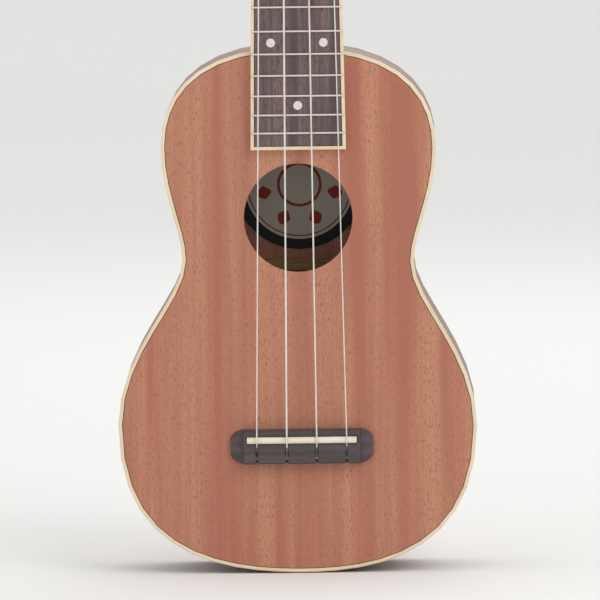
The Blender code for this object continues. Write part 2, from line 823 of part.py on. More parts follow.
def build_nut(materials, grooves):
    """The bone nut: high at the fretboard, falling towards the headstock, with a groove a string."""
    crest = TOP_Y - NUT_STRING_HEIGHT - NUT_GROOVE_DEPTH
    foot = TOP_Y - GAP
    profile = (
        (0.0, foot),
        (NUT_THICKNESS, foot),
        (NUT_THICKNESS, TOP_Y - NUT_BACK_HEIGHT),
        (NUT_CREST_LENGTH, crest),
        (0.0, crest),
    )
    half = NUT_WIDTH / 2
    rings = [[(x, y, z) for z, y in profile] for x in (-half, half)]
    nut = make_object("nut", loft(rings), materials["bone"])
    for groove in grooves:
        add_boolean(nut, groove)


# Bridge and saddle
def bridge_section(x, height, front, back):
    """A section of the bridge, eased along its upper edges."""
    under = TOP_Y - GAP
    top = TOP_Y - height
    return [
        (x, under, SADDLE_Z + front),
        (x, under, SADDLE_Z - back),
        (x, top + BRIDGE_BEVEL, SADDLE_Z - back),
        (x, top, SADDLE_Z - back + BRIDGE_BEVEL),
        (x, top, SADDLE_Z + front - BRIDGE_BEVEL),
        (x, top + BRIDGE_BEVEL, SADDLE_Z + front),
    ]


def build_bridge(materials, grooves):
    """A raised block between low round-ended wings, slotted for the saddle and the knotted strings."""
    half = BRIDGE_WIDTH / 2
    block = BRIDGE_BLOCK_WIDTH / 2
    wing = half - block
    length = BRIDGE_FRONT + BRIDGE_BACK
    stations = []
    for share in (1.0, 0.93, 0.78, 0.5, 0.06):
        narrow = length / 2 * (1 - math.sqrt(1 - (share * 0.86) ** 2))
        height = mix(BRIDGE_WING_HEIGHT, BRIDGE_TIP_HEIGHT, share)
        stations.append((block + wing * share, height, narrow))
    stations.append((block, BRIDGE_HEIGHT - BRIDGE_BEVEL / 2, 0.0))
    stations.append((block - BRIDGE_BEVEL, BRIDGE_HEIGHT, 0.0))
    rings = []
    for side, order in ((-1, stations), (1, stations[::-1])):
        for x, height, narrow in order:
            rings.append(bridge_section(side * x, height, BRIDGE_FRONT - narrow, BRIDGE_BACK - narrow))
    bridge = make_object("bridge", loft(rings), materials["rosewood"])
    slot_half = SADDLE_THICKNESS / 2 + GAP
    above = TOP_Y - 2 * BRIDGE_HEIGHT
    saddle_slot = box(
        (-SADDLE_WIDTH / 2 - GAP, above, SADDLE_Z - slot_half),
        (SADDLE_WIDTH / 2 + GAP, TOP_Y - SADDLE_SLOT_FLOOR, SADDLE_Z + slot_half),
    )
    add_boolean(bridge, make_tool("saddle_slot_cutter", saddle_slot))
    slots = []
    pockets = []
    behind = SADDLE_Z - 1.5 * BRIDGE_BACK
    floor = TOP_Y - SLOT_FLOOR
    for index, diameter in enumerate(STRING_DIAMETERS):
        x = string_x(index, SADDLE_STRING_SPREAD)
        slot = diameter / 2 + SLOT_CLEARANCE
        slots.append(box((x - slot, above, behind), (x + slot, floor, SADDLE_Z - SLOT_START)))
        pocket = POCKET_WIDTH / 2
        pockets.append(
            box(
                (x - pocket, floor - POCKET_HEIGHT, behind),
                (x + pocket, floor, SADDLE_Z - POCKET_START),
            )
        )
    add_boolean(bridge, make_tool("string_slot_cutter", joined(*slots)))
    add_boolean(bridge, make_tool("knot_pocket_cutter", joined(*pockets)))
    for groove in grooves:
        add_boolean(bridge, groove)

    half_thick = SADDLE_THICKNESS / 2
    foot = TOP_Y - SADDLE_SLOT_FLOOR - GAP
    crown = TOP_Y - SADDLE_STRING_HEIGHT + SADDLE_STRING_GAP
    section = [(-half_thick, foot), (half_thick, foot)]
    for step in range(7):
        angle = math.pi * step / 6
        section.append((half_thick * math.cos(angle), crown + half_thick * (1 - math.sin(angle)) * 0.8))
    rings = [[(x, y, SADDLE_Z + z) for z, y in section] for x in (-SADDLE_WIDTH / 2, SADDLE_WIDTH / 2)]
    make_object("saddle", loft(rings), materials["bone"])


# Strings
def string_x(index, spread):
    """Sideways place of a string in an even spread."""
    return spread * (index / (len(STRING_NAMES) - 1) - 0.5)


def head_point(x, height, z):
    """A point above the headstock's face."""
    return Vector(on_head(z)(x, -height))


def winding_radius(diameter):
    """Radius of a winding's centre line that keeps its straight steps off the post."""
    return (POST_WAIST_RADIUS + RUNNING_GAP + diameter / 2) / math.cos(math.pi / WINDING_STEPS)


def string_path(index):
    """Points from the knot in the bridge over saddle and nut to the end of the winding."""
    name = STRING_NAMES[index]
    diameter = STRING_DIAMETERS[index]
    radius = diameter / 2
    saddle_x = string_x(index, SADDLE_STRING_SPREAD)
    nut_x = string_x(index, NUT_STRING_SPREAD)
    knot_y = TOP_Y - KNOT_HEIGHT
    saddle_y = TOP_Y - SADDLE_STRING_HEIGHT - radius
    nut_y = TOP_Y - NUT_STRING_HEIGHT - radius
    knot_z = SADDLE_Z - KNOT_SETBACK
    bead = KNOT_RADIUS
    path = [
        (saddle_x, knot_y, knot_z - bead),
        (saddle_x, knot_y, knot_z - 0.7 * bead),
        (saddle_x, knot_y, knot_z),
        (saddle_x, knot_y, knot_z + 0.7 * bead),
        (saddle_x, knot_y - radius / 2, knot_z + bead),
        (saddle_x, saddle_y + SADDLE_THICKNESS * 0.2, SADDLE_Z - SADDLE_THICKNESS * 0.45),
        (saddle_x, saddle_y + SADDLE_THICKNESS * 0.04, SADDLE_Z - SADDLE_THICKNESS * 0.17),
        (saddle_x, saddle_y, SADDLE_Z + SADDLE_THICKNESS * 0.2),
        (nut_x, nut_y, NUT_CREST_LENGTH * 0.3),
        (nut_x, nut_y + radius * 0.2, NUT_CREST_LENGTH * 0.9),
    ]
    radii = [0.3 * bead, 0.8 * bead, bead, 0.8 * bead] + [radius] * (len(path) - 4)

    side = TUNER_SIDE[name]
    post_x = side * TUNER_X
    post_z = TUNER_Z[name]
    around = winding_radius(diameter)
    leave = Vector((nut_x - post_x, -NUT_THICKNESS - post_z))
    toward = math.atan2(leave.y, -side * leave.x) + math.acos(around / leave.length)
    pitch = diameter + WINDING_CLEARANCE
    for step in range(WINDING_TURNS * WINDING_STEPS + 1):
        turn = step / WINDING_STEPS
        angle = toward + 2 * math.pi * turn
        path.append(
            head_point(
                post_x - side * around * math.cos(angle),
                WINDING_HEIGHT + pitch * turn,
                post_z + around * math.sin(angle),
            )
        )
        radii.append(radius)
    return [Vector(point) for point in path], radii


def least_gap(path, radius):
    """Least clearance between points that lie more than half a turn apart along a winding."""
    winding = path[-WINDING_TURNS * WINDING_STEPS - 1 :]
    apart = WINDING_STEPS // 2
    nearest = min(
        (a - b).length for i, a in enumerate(winding) for b in winding[i + apart :]
    )
    return nearest - 2 * radius


def build_strings(materials):
    """The strings, and fat copies of them that cut the grooves in the nut and the bridge."""
    grooves = []
    for index, name in enumerate(STRING_NAMES):
        path, radii = string_path(index)
        make_object(f"string_{name}", tube(path, radii, STRING_SIDES), materials["nylon"])
        radius = STRING_DIAMETERS[index] / 2
        print(f"string_{name}: least gap of its winding {1000 * least_gap(path, radius):.2f} mm")
        straight = path[4:11]
        fat = [radius + SLOT_CLEARANCE] * len(straight)
        grooves.append(make_tool(f"groove_{name}_cutter", tube(straight, fat, STRING_SIDES + 2)))
    return grooves


# Tuning machines
def worm_shape(side):
    """A single-start thread on a stepped shaft. The thread is skinned along its own helix."""
    slope = math.tan(PRESSURE_ANGLE)
    tip = TOOTH_WIDTH / 2 - ADDENDUM * slope
    root = TOOTH_WIDTH / 2 + DEDENDUM * slope
    profile = (
        (-root, WORM_ROOT_RADIUS),
        (-tip, WORM_OUTER_RADIUS),
        (tip, WORM_OUTER_RADIUS),
        (root, WORM_ROOT_RADIUS),
    )
    sides = WORM_SIDES
    columns = []
    # The thread's ridge stands at x = 0 where it faces the gear, at a quarter turn.
    for j in range(sides):
        turn = j / sides
        angle = 2 * math.pi * turn
        column = []
        for ridge in range(-WORM_TURNS // 2, WORM_TURNS // 2):
            for along, radius in profile:
                x = (ridge + turn - 0.25) * TOOTH_PITCH + along
                column.append((x, radius * math.cos(angle), radius * math.sin(angle)))
        columns.append(column)
    last = len(columns[0]) - 1

    def ring(x, radius):
        return [(x, radius * c, radius * s) for c, s in circle(sides)]

    inner_end = -LUG_START - LUG_THICKNESS
    outer_end = BUTTON_START + BUTTON_SOCKET - RUNNING_GAP
    shaft_low = [
        ring(inner_end, SHAFT_RADIUS * 0.8),
        ring(inner_end + SHAFT_RADIUS * 0.2, SHAFT_RADIUS),
        ring(-LUG_START, SHAFT_RADIUS),
        ring(-LUG_START, WORM_ROOT_RADIUS),
    ]
    collar = LUG_START + LUG_THICKNESS + RUNNING_GAP
    shaft_high = [
        ring(LUG_START, WORM_ROOT_RADIUS),
        ring(LUG_START, SHAFT_RADIUS),
        ring(collar, SHAFT_RADIUS),
        ring(collar, SHAFT_COLLAR_RADIUS),
        ring(BUTTON_START - RUNNING_GAP, SHAFT_COLLAR_RADIUS),
        ring(BUTTON_START - RUNNING_GAP, SHAFT_RADIUS),
        ring(outer_end, SHAFT_RADIUS),
    ]
    points = []
    index = {}
    for j, column in enumerate(columns):
        for k, point in enumerate(column):
            index["thread", j, k] = len(points)
            points.append(point)
    for name, rings in (("low", shaft_low), ("high", shaft_high)):
        for r, shaft_ring in enumerate(rings):
            for j, point in enumerate(shaft_ring):
                index[name, r, j] = len(points)
                points.append(point)

    def thread(j, k):
        return index["thread", j, k]

    faces = []
    end = sides - 1
    for j in range(end):
        for k in range(last):
            faces.append((thread(j, k), thread(j + 1, k), thread(j + 1, k + 1), thread(j, k + 1)))
    for k in range(last - 4):
        faces.append((thread(end, k), thread(0, k + 4), thread(0, k + 5), thread(end, k + 1)))
    low = len(shaft_low) - 1
    for j in range(end):
        faces.append((index["low", low, j], index["low", low, j + 1], thread(j + 1, 0), thread(j, 0)))
        faces.append((thread(j, last), thread(j + 1, last), index["high", 0, j + 1], index["high", 0, j]))
    before = index["low", low, end]
    faces.append((before, index["low", low, 0], thread(0, 0)))
    faces.append((before, thread(0, 0), thread(0, 3)))
    faces.append((before, thread(0, 3), thread(end, 0)))
    faces.append((thread(end, 0), thread(0, 3), thread(0, 4)))
    faces.append((thread(0, 0), thread(0, 1), thread(0, 2), thread(0, 3)))
    after = index["high", 0, 0]
    faces.append((after, index["high", 0, end], thread(end, last)))
    faces.append((after, thread(end, last), thread(end, last - 3)))
    faces.append((after, thread(end, last - 3), thread(0, last)))
    faces.append((thread(0, last), thread(end, last - 3), thread(end, last - 4)))
    faces.append(tuple(thread(end, last - k) for k in range(4)))
    for name, rings in (("low", shaft_low), ("high", shaft_high)):
        for r in range(len(rings) - 1):
            for j in range(sides):
                n = (j + 1) % sides
                faces.append(
                    (index[name, r, j], index[name, r, n], index[name, r + 1, n], index[name, r + 1, j])
                )
    faces.append(tuple(index["low", 0, j] for j in range(sides)))
    faces.append(tuple(index["high", len(shaft_high) - 1, j] for j in range(sides)))
    return [(side * x, y, z) for x, y, z in points], faces


def gear_shape(side):
    """A helical gear with a blind socket for the post's foot and the head of its screw on top."""
    slope = math.tan(PRESSURE_ANGLE)
    tip = (TOOTH_WIDTH / 2 - ADDENDUM * slope) / (GEAR_PITCH_RADIUS + ADDENDUM)
    root = (TOOTH_WIDTH / 2 + DEDENDUM * slope) / (GEAR_PITCH_RADIUS - DEDENDUM)
    tooth = 2 * math.pi / GEAR_TEETH
    twist = math.atan(TOOTH_PITCH / (2 * math.pi * WORM_PITCH_RADIUS))
    low_y = WORM_Y - GEAR_THICKNESS / 2
    high_y = WORM_Y + GEAR_THICKNESS / 2

    def outline(y):
        # A tooth space faces the worm, which lies towards -Z, at mid thickness.
        lead = (y - WORM_Y) * math.tan(twist) / GEAR_PITCH_RADIUS
        ring = []
        for number in range(GEAR_TEETH):
            middle = (number + 0.5) * tooth - lead
            for offset, radius in (
                (-root, GEAR_PITCH_RADIUS - DEDENDUM),
                (-tip, GEAR_PITCH_RADIUS + ADDENDUM),
                (tip, GEAR_PITCH_RADIUS + ADDENDUM),
                (root, GEAR_PITCH_RADIUS - DEDENDUM),
            ):
                angle = middle + offset
                ring.append((radius * math.sin(angle), y, -radius * math.cos(angle)))
        return ring

    def ring(radius, y):
        angles = [(number + 0.5) * tooth - tooth / 2 for number in range(GEAR_TEETH)]
        return [(radius * math.sin(angle), y, -radius * math.cos(angle)) for angle in angles]

    socket = POST_FOOT_RADIUS + RUNNING_GAP
    socket_y = high_y - 2 * GAP
    chamfer = GEAR_SCREW_HEIGHT / 4
    rings = [
        ring(socket, socket_y),
        ring(socket, low_y),
        outline(low_y),
        outline(high_y),
        ring(GEAR_SCREW_RADIUS, high_y),
        ring(GEAR_SCREW_RADIUS, high_y + GEAR_SCREW_HEIGHT - chamfer),
        ring(GEAR_SCREW_RADIUS - chamfer, high_y + GEAR_SCREW_HEIGHT),
    ]
    points = []
    starts = []
    for item in rings:
        starts.append(len(points))
        points += item
    faces = []
    for a, b in ((0, 1), (4, 5), (5, 6)):
        for i in range(GEAR_TEETH):
            j = (i + 1) % GEAR_TEETH
            faces.append((starts[a] + i, starts[a] + j, starts[b] + j, starts[b] + i))
    teeth_points = 4 * GEAR_TEETH
    for i in range(teeth_points):
        j = (i + 1) % teeth_points
        faces.append((starts[2] + i, starts[2] + j, starts[3] + j, starts[3] + i))
    for circle_ring, teeth in ((1, 2), (4, 3)):
        for i in range(GEAR_TEETH):
            j = (i + 1) % GEAR_TEETH
            tooth_face = [starts[teeth] + (4 * i + k) % teeth_points for k in range(5)]
            faces.append((starts[circle_ring] + i, *tooth_face, starts[circle_ring] + j))
    faces.append(tuple(starts[0] + i for i in range(GEAR_TEETH)))
    faces.append(tuple(starts[6] + i for i in range(GEAR_TEETH)))
    return [(side * x, y, z) for x, y, z in points], faces


def post_shape():
    """The string post: a waisted barrel above the face, a bearing in the head and a foot in the gear."""
    face = -HEAD_THICKNESS
    foot_y = WORM_Y - GEAR_THICKNESS / 2 - RUNNING_GAP
    foot_end = WORM_Y + GEAR_THICKNESS / 2 - 2 * GAP - RUNNING_GAP
    waist_low = WINDING_HEIGHT - max(STRING_DIAMETERS) / 2 - RUNNING_GAP
    waist_high = POST_RISE - 0.0022
    flare = POST_RADIUS - POST_WAIST_RADIUS
    dome = POST_RADIUS * 0.3
    profile = (
        (POST_RADIUS - 2 * dome, face - POST_RISE),
        (POST_RADIUS - dome / 2, face - POST_RISE + dome / 2),
        (POST_RADIUS, face - POST_RISE + dome),
        (POST_RADIUS, face - waist_high - flare),
        (POST_WAIST_RADIUS, face - waist_high),
        (POST_WAIST_RADIUS, face - waist_low),
        (POST_RADIUS, face - waist_low + flare),
        (POST_RADIUS, foot_y),
        (POST_FOOT_RADIUS, foot_y),
        (POST_FOOT_RADIUS, foot_end),
    )
    return turned_y(profile, TURNED_SIDES)


def plate_outline():
    """(x, z) of the base plate, with clipped corners."""
    half = PLATE_WIDTH / 2
    low = WORM_Z - PLATE_BEYOND_WORM
    high = PLATE_BEYOND_POST
    clip = half * 0.55
    return [
        (half, low + clip),
        (half, high - clip),
        (half - clip * 0.3, high - clip * 0.3),
        (half - clip, high),
        (clip - half, high),
        (clip * 0.3 - half, high - clip * 0.3),
        (-half, high - clip),
        (-half, low + clip),
        (clip * 0.3 - half, low + clip * 0.3),
        (clip - half, low),
        (half - clip, low),
        (half - clip * 0.3, low + clip * 0.3),
    ]


def lug_shape(x):
    """A round-topped ear that carries one end of the worm shaft."""
    half = LUG_WIDTH / 2
    section = [(WORM_Z - half, GAP + PLATE_THICKNESS / 2), (WORM_Z + half, GAP + PLATE_THICKNESS / 2)]
    for step in range(5):
        angle = math.pi * step / 4
        section.append((WORM_Z + half * math.cos(angle), WORM_Y + half * math.sin(angle) * 0.9))
    return loft([[(station, y, z) for z, y in section] for station in (x, x + LUG_THICKNESS)])


def build_plate(name, side, materials, frame):
    """The base plate with its two ears, bored for the post and the worm shaft."""
    plate = make_object(
        f"tuner_plate_{name}",
        slab(plate_outline(), lambda z: GAP, lambda z: PLATE_TOP),
        materials["steel"],
        frame,
    )
    inner = -LUG_START - LUG_THICKNESS
    lugs = joined(lug_shape(side * LUG_START - (side < 0) * LUG_THICKNESS), lug_shape(
        side * inner - (side < 0) * LUG_THICKNESS
    ))
    add_boolean(plate, make_tool(f"tuner_lugs_{name}", lugs, frame), "UNION")
    post_bore = POST_RADIUS + RUNNING_GAP
    shaft_bore = SHAFT_RADIUS + RUNNING_GAP
    hole = turned_y(((post_bore, -PLATE_THICKNESS), (post_bore, 3 * PLATE_THICKNESS)), TURNED_SIDES)
    reach = LUG_START + 2 * LUG_THICKNESS
    bore = loft(
        [
            [(x, WORM_Y + shaft_bore * c, WORM_Z + shaft_bore * s) for c, s in circle(WORM_SIDES)]
            for x in (-reach, reach)
        ]
    )
    add_boolean(plate, make_tool(f"tuner_bores_{name}", joined(hole, bore), frame))


def button_shape(side):
    """An oval finger button on a short collar, with a blind socket for the shaft."""
    half_wide = BUTTON_WIDTH / 2
    half_thick = BUTTON_THICKNESS / 2
    collar = SHAFT_COLLAR_RADIUS + 0.0007
    socket = SHAFT_RADIUS + RUNNING_GAP
    rings = []
    for along, wide, thick in (
        (BUTTON_SOCKET, socket, socket),
        (0.0, socket, socket),
        (0.0, collar, collar),
        (0.06 * BUTTON_LENGTH, collar * 1.15, collar * 1.05),
        (0.18 * BUTTON_LENGTH, half_wide * 0.68, half_thick * 0.9),
        (0.38 * BUTTON_LENGTH, half_wide * 0.95, half_thick),
        (0.6 * BUTTON_LENGTH, half_wide, half_thick * 0.95),
        (0.8 * BUTTON_LENGTH, half_wide * 0.88, half_thick * 0.8),
        (0.94 * BUTTON_LENGTH, half_wide * 0.6, half_thick * 0.55),
        (BUTTON_LENGTH, half_wide * 0.25, half_thick * 0.25),
    ):
        x = side * (BUTTON_START + along)
        rings.append([(x, thick * c, wide * s) for c, s in circle(TURNED_SIDES)])
    return loft(rings)


def build_tuner(name, materials, head_frame):
    """One geared tuning machine. The post and gear turn on the frame, worm and button on the shaft."""
    side = TUNER_SIDE[name]
    place = (side * TUNER_X, HEAD_THICKNESS, TUNER_Z[name])
    frame = make_empty(f"tuner_{name}_post_axis", head_frame, place)
    shaft = make_empty(f"tuner_{name}_worm_axis", frame, (0.0, WORM_Y, WORM_Z))
    build_plate(name, side, materials, frame)
    post = make_object(f"tuner_post_{name}", post_shape(), materials["steel"], frame)
    hole_y = -HEAD_THICKNESS - POST_RISE + 0.0032
    reach = 2 * POST_RADIUS
    bore = [
        [(x, hole_y + POST_HOLE_RADIUS * c, POST_HOLE_RADIUS * s) for c, s in circle(8)]
        for x in (-reach, reach)
    ]
    add_boolean(post, make_tool(f"post_bore_{name}", loft(bore), frame))
    make_object(f"tuner_gear_{name}", gear_shape(side), materials["brass"], frame)
    make_object(f"tuner_worm_{name}", worm_shape(side), materials["steel"], shaft)
    make_object(f"tuner_button_{name}", button_shape(side), materials["button"], shaft)


def main():
    clear_scene()
    materials = make_materials()
    body_frame = make_empty(
        "body_frame", None, (BODY_SIDE_STEP, TOP_Y, JOINT_Z), (0.0, BODY_SKEW, 0.0)
    )
    head_frame = make_empty(
        "head_frame", None, (0.0, TOP_Y, NUT_THICKNESS), (-HEAD_ANGLE, 0.0, 0.0)
    )
    build_body(materials, body_frame)
    build_neck(materials, body_frame, head_frame)
    build_fretboard(materials)
    for number in range(1, FRET_COUNT + 1):
        build_fret(number, materials)
    grooves = build_strings(materials)
    build_nut(materials, grooves)
    build_bridge(materials, grooves)
    for name in STRING_NAMES:
        build_tuner(name, materials, head_frame)


main()
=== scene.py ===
import math

import bmesh
import bpy
from mathutils import Matrix, Vector


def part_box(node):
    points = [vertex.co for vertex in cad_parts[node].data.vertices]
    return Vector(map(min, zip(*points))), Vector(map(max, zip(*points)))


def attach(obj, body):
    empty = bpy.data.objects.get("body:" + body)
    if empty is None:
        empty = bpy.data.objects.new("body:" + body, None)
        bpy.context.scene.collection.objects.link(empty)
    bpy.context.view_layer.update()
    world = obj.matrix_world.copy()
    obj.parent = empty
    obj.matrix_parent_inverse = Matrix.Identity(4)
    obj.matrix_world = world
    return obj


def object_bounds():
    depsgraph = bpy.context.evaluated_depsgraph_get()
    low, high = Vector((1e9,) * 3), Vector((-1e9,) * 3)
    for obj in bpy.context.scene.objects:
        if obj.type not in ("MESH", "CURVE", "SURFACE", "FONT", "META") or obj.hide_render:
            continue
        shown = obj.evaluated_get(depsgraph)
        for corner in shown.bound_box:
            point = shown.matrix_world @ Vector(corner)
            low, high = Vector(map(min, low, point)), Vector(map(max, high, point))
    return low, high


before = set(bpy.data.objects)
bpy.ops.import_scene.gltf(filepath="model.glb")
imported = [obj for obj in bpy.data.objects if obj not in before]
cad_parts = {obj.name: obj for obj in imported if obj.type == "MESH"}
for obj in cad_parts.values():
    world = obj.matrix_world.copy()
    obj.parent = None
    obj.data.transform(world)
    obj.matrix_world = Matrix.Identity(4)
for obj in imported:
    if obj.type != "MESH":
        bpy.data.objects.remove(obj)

CAD_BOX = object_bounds()

bl_info = {
    "name": "Soprano ukulele looks",
    "version": (1, 0, 0),
    "blender": (4, 5, 0),
    "location": "View3D > Sidebar > Ukulele",
    "description": "Woods, trim, inlays and tuner screws of a soprano ukulele, and its stage",
    "category": "Object",
}

STRING_NAMES = ("g", "c", "e", "a")
FRET_NAMES = [f"fret_{number:02d}" for number in range(1, 17)]

# Position dots: each lies between the fret numbered here and the one before it, toward the nut
SINGLE_DOTS = (5, 7, 10, 15)
DOUBLE_DOT = 12
DOT_FACETS = 32
# Shares of the radius, and metres above the board's face
DOT_PROFILE = ((1.0, -0.001), (1.0, 0.00002), (0.7, 0.00005), (0.3, 0.00006))

# Headstock: its own axes lean back from the neck's
HEAD_ANGLE = math.radians(12)
HEAD_ORIGIN = Vector((0.0, -0.013, 0.005))
HEAD_BACK = Vector((0.0, math.cos(HEAD_ANGLE), -math.sin(HEAD_ANGLE)))
HEAD_UP = Vector((0.0, math.sin(HEAD_ANGLE), math.cos(HEAD_ANGLE)))
HEAD_THICKNESS = 0.011

# Tuning machines: the posts' places across and up the head, and the screws of their plates
TUNER_PLACES = {"g": (-0.018, 0.034), "c": (-0.018, 0.070), "e": (0.018, 0.070), "a": (0.018, 0.034)}
PLATE_FACE = 0.0013  # from the wood to the plate's outer face
SCREW_OFFSETS = (-0.0116, 0.0073)  # along the plate from the post, clear of the gear and worm
SCREW_FACETS = 24
# Shares of the radius, and metres above the plate's face
SCREW_PROFILE = ((1.0, -0.0004), (1.0, 0.0001), (0.9, 0.00042), (0.6, 0.0006), (0.3, 0.00064))
SCREW_HOLLOW = 0.0004  # depth at the middle of the head
SHARP_ANGLE = math.radians(40)

# Grain: ribbons and streaks in widths of a ribbon, a pore's length in its own widths
RIBBON_LENGTH = 28
STREAK_WIDTH = 0.16
STREAK_LENGTH = 6
PORE_LENGTH = 5
# How far roughness drifts down and up from the one stated
WOOD_DRIFT = (-0.06, 0.1)
METAL_DRIFT = (-0.05, 0.12)
# Polishing marks and paper fibres, far wider than real ones so that they show
MARK_WIDTH = 0.0004
MARK_LENGTH = 0.006
FIBRE_WIDTH = 0.0005
FIBRE_LENGTH = 0.002

# Label: radii are shares of its own
RED_RINGS = ((0.3, 0.34), (0.78, 0.8))
CHARCOAL_EDGE = 0.84
LOZENGE_COUNT = 7.0
LOZENGE_RADIUS = 0.56
LOZENGE_TAPER = 6.5  # a larger one makes lozenges shorter along the radius
LOZENGE_LEVEL = 0.25  # a larger one makes them smaller all round

# Camera and stage, matched to the photograph as a picture of 600 by 600
VIEW_CENTRE = Vector((-0.0001, -0.013, -0.287))
VIEW_DISTANCE = 4.45
VIEW_ELEVATION = math.radians(4.3)
VIEW_SIDE = math.radians(0.6)
VIEW_ROLL = math.radians(0.7)
VIEW_WIDTH = 0.2736  # metres across the frame at that distance
SENSOR_WIDTH = 36.0
FLOOR_SIZE = 30.0
FLOOR_DROP = 0.0005  # below the tail
WHITE = (1.0, 1.0, 1.0, 1.0)
LIGHT_STRENGTH = 0.8  # of the world on the object
WHITE_STRENGTH = 1.0  # of the world as the camera, gloss and glass see it
# Each lamp's name, place, width in metres and power in watts
LAMPS = (
    ("key_from_upper_right", (0.9, -1.3, 0.7), 1.0, 9.0),
    ("fill_from_left", (-1.2, -1.4, 0.1), 1.4, 2.5),
    ("rim_from_behind", (0.3, 1.5, 0.9), 1.2, 4.0),
)


def linear(code):
    """A colour written as six sRGB hex digits, as linear red, green and blue."""
    channels = [int(code[at : at + 2], 16) / 255 for at in (0, 2, 4)]
    return tuple(c / 12.92 if c <= 0.04045 else ((c + 0.055) / 1.055) ** 2.4 for c in channels)


def add(tree, kind, settings=(), links=()):
    """Add a node. A setting goes to the property or else to the input that it names."""
    node = tree.nodes.new("ShaderNode" + kind)
    for key, value in dict(settings).items():
        if isinstance(key, str) and key in node.bl_rna.properties:
            setattr(node, key, value)
        else:
            node.inputs[key].default_value = value
    for key, source in dict(links).items():
        tree.links.new(source, node.inputs[key])
    return node


def start_material(name, settings):
    """A new material and its Principled shader, with constants set on the shader's own sockets."""
    material = bpy.data.materials.new(name)
    material.use_nodes = True
    shader = material.node_tree.nodes["Principled BSDF"]
    for key, value in settings.items():
        shader.inputs[key].default_value = value
    return material, material.node_tree, shader


def stretched(tree, direction, across, along):
    """Object coordinates with one unit to so many metres across the grain, and along it."""
    scale = [1 / across] * 3
    for axis in direction:
        scale["xyz".index(axis)] = 1 / along
    coordinates = add(tree, "TexCoord")
    return add(tree, "Mapping", {"Scale": scale}, {"Vector": coordinates.outputs["Object"]}).outputs[0]


def blended(tree, factor, first, second, mode="MIX"):
    """Mix two colours, each a value or an output."""
    settings = {"data_type": "RGBA", "blend_type": mode}
    links = {}
    for key, value in ((0, factor), (6, first), (7, second)):
        if isinstance(value, bpy.types.NodeSocket):
            links[key] = value
        else:
            settings[key] = value if key == 0 else (*value, 1.0)
    return add(tree, "Mix", settings, links).outputs[2]


def wood(name, light, dark, pore, direction, stripe, pore_size, pore_share, roughness, relief):
    """Oiled or satin wood: broad ribbon stripes, fine streaks between them, and open pores."""
    material, tree, shader = start_material(name, {"Roughness": roughness, "IOR": 1.5})
    ribbon = add(
        tree,
        "TexNoise",
        {"Scale": 1.0, "Detail": 2.0, "Roughness": 0.55, "Distortion": 0.25},
        {"Vector": stretched(tree, direction, stripe, stripe * RIBBON_LENGTH)},
    )
    ribbon_share = add(
        tree, "MapRange", {"From Min": 0.38, "From Max": 0.64}, {"Value": ribbon.outputs["Fac"]}
    )
    streak = add(
        tree,
        "TexNoise",
        {"Scale": 1.0, "Detail": 3.0, "Roughness": 0.6},
        {"Vector": stretched(tree, direction, stripe * STREAK_WIDTH, stripe * STREAK_LENGTH)},
    )
    streak_share = add(
        tree,
        "MapRange",
        {"From Min": 0.35, "From Max": 0.7, "To Max": 0.4},
        {"Value": streak.outputs["Fac"]},
    )
    base = blended(tree, ribbon_share.outputs[0], light, dark)
    base = blended(tree, streak_share.outputs[0], base, dark)
    pores = add(
        tree,
        "TexNoise",
        {"Scale": 1.0, "Detail": 1.0, "Roughness": 0.4},
        {"Vector": stretched(tree, direction, pore_size, pore_size * PORE_LENGTH)},
    )
    pore_mask = add(
        tree,
        "MapRange",
        {"From Min": 0.56, "From Max": 0.68, "To Max": pore_share},
        {"Value": pores.outputs["Fac"]},
    )
    # Light ribbons cut across the pores, and dark ones run along them and show fewer
    open_share = add(tree, "MapRange", {"To Min": 1.0, "To Max": 0.4}, {"Value": ribbon_share.outputs[0]})
    pore_depth = add(
        tree, "Math", {"operation": "MULTIPLY"}, {0: pore_mask.outputs[0], 1: open_share.outputs[0]}
    )
    colour = blended(tree, pore_depth.outputs[0], base, pore)
    tree.links.new(colour, shader.inputs["Base Color"])
    smoother, rougher = WOOD_DRIFT
    rough = add(
        tree,
        "MapRange",
        {"From Min": 0.3, "From Max": 0.7, "To Min": roughness + smoother, "To Max": roughness + rougher},
        {"Value": streak.outputs["Fac"]},
    )
    tree.links.new(rough.outputs[0], shader.inputs["Roughness"])
    bump = add(
        tree,
        "Bump",
        {"invert": True, "Strength": 0.35, "Distance": relief},
        {"Height": pore_depth.outputs[0]},
    )
    tree.links.new(bump.outputs[0], shader.inputs["Normal"])
    return material


def mottled(name, settings, light, dark, patch, roughness_spread):
    """A smooth material whose colour and roughness drift a little from patch to patch."""
    material, tree, shader = start_material(name, settings)
    cloud = add(
        tree,
        "TexNoise",
        {"Scale": 1.0, "Detail": 3.0, "Roughness": 0.55},
        {"Vector": stretched(tree, "", patch, patch)},
    )
    share = add(tree, "MapRange", {"From Min": 0.35, "From Max": 0.65}, {"Value": cloud.outputs["Fac"]})
    tree.links.new(blended(tree, share.outputs[0], light, dark), shader.inputs["Base Color"])
    roughness = settings["Roughness"]
    rough = add(
        tree,
        "MapRange",
        {"To Min": roughness, "To Max": roughness + roughness_spread},
        {"Value": cloud.outputs["Fac"]},
    )
    tree.links.new(rough.outputs[0], shader.inputs["Roughness"])
    return material


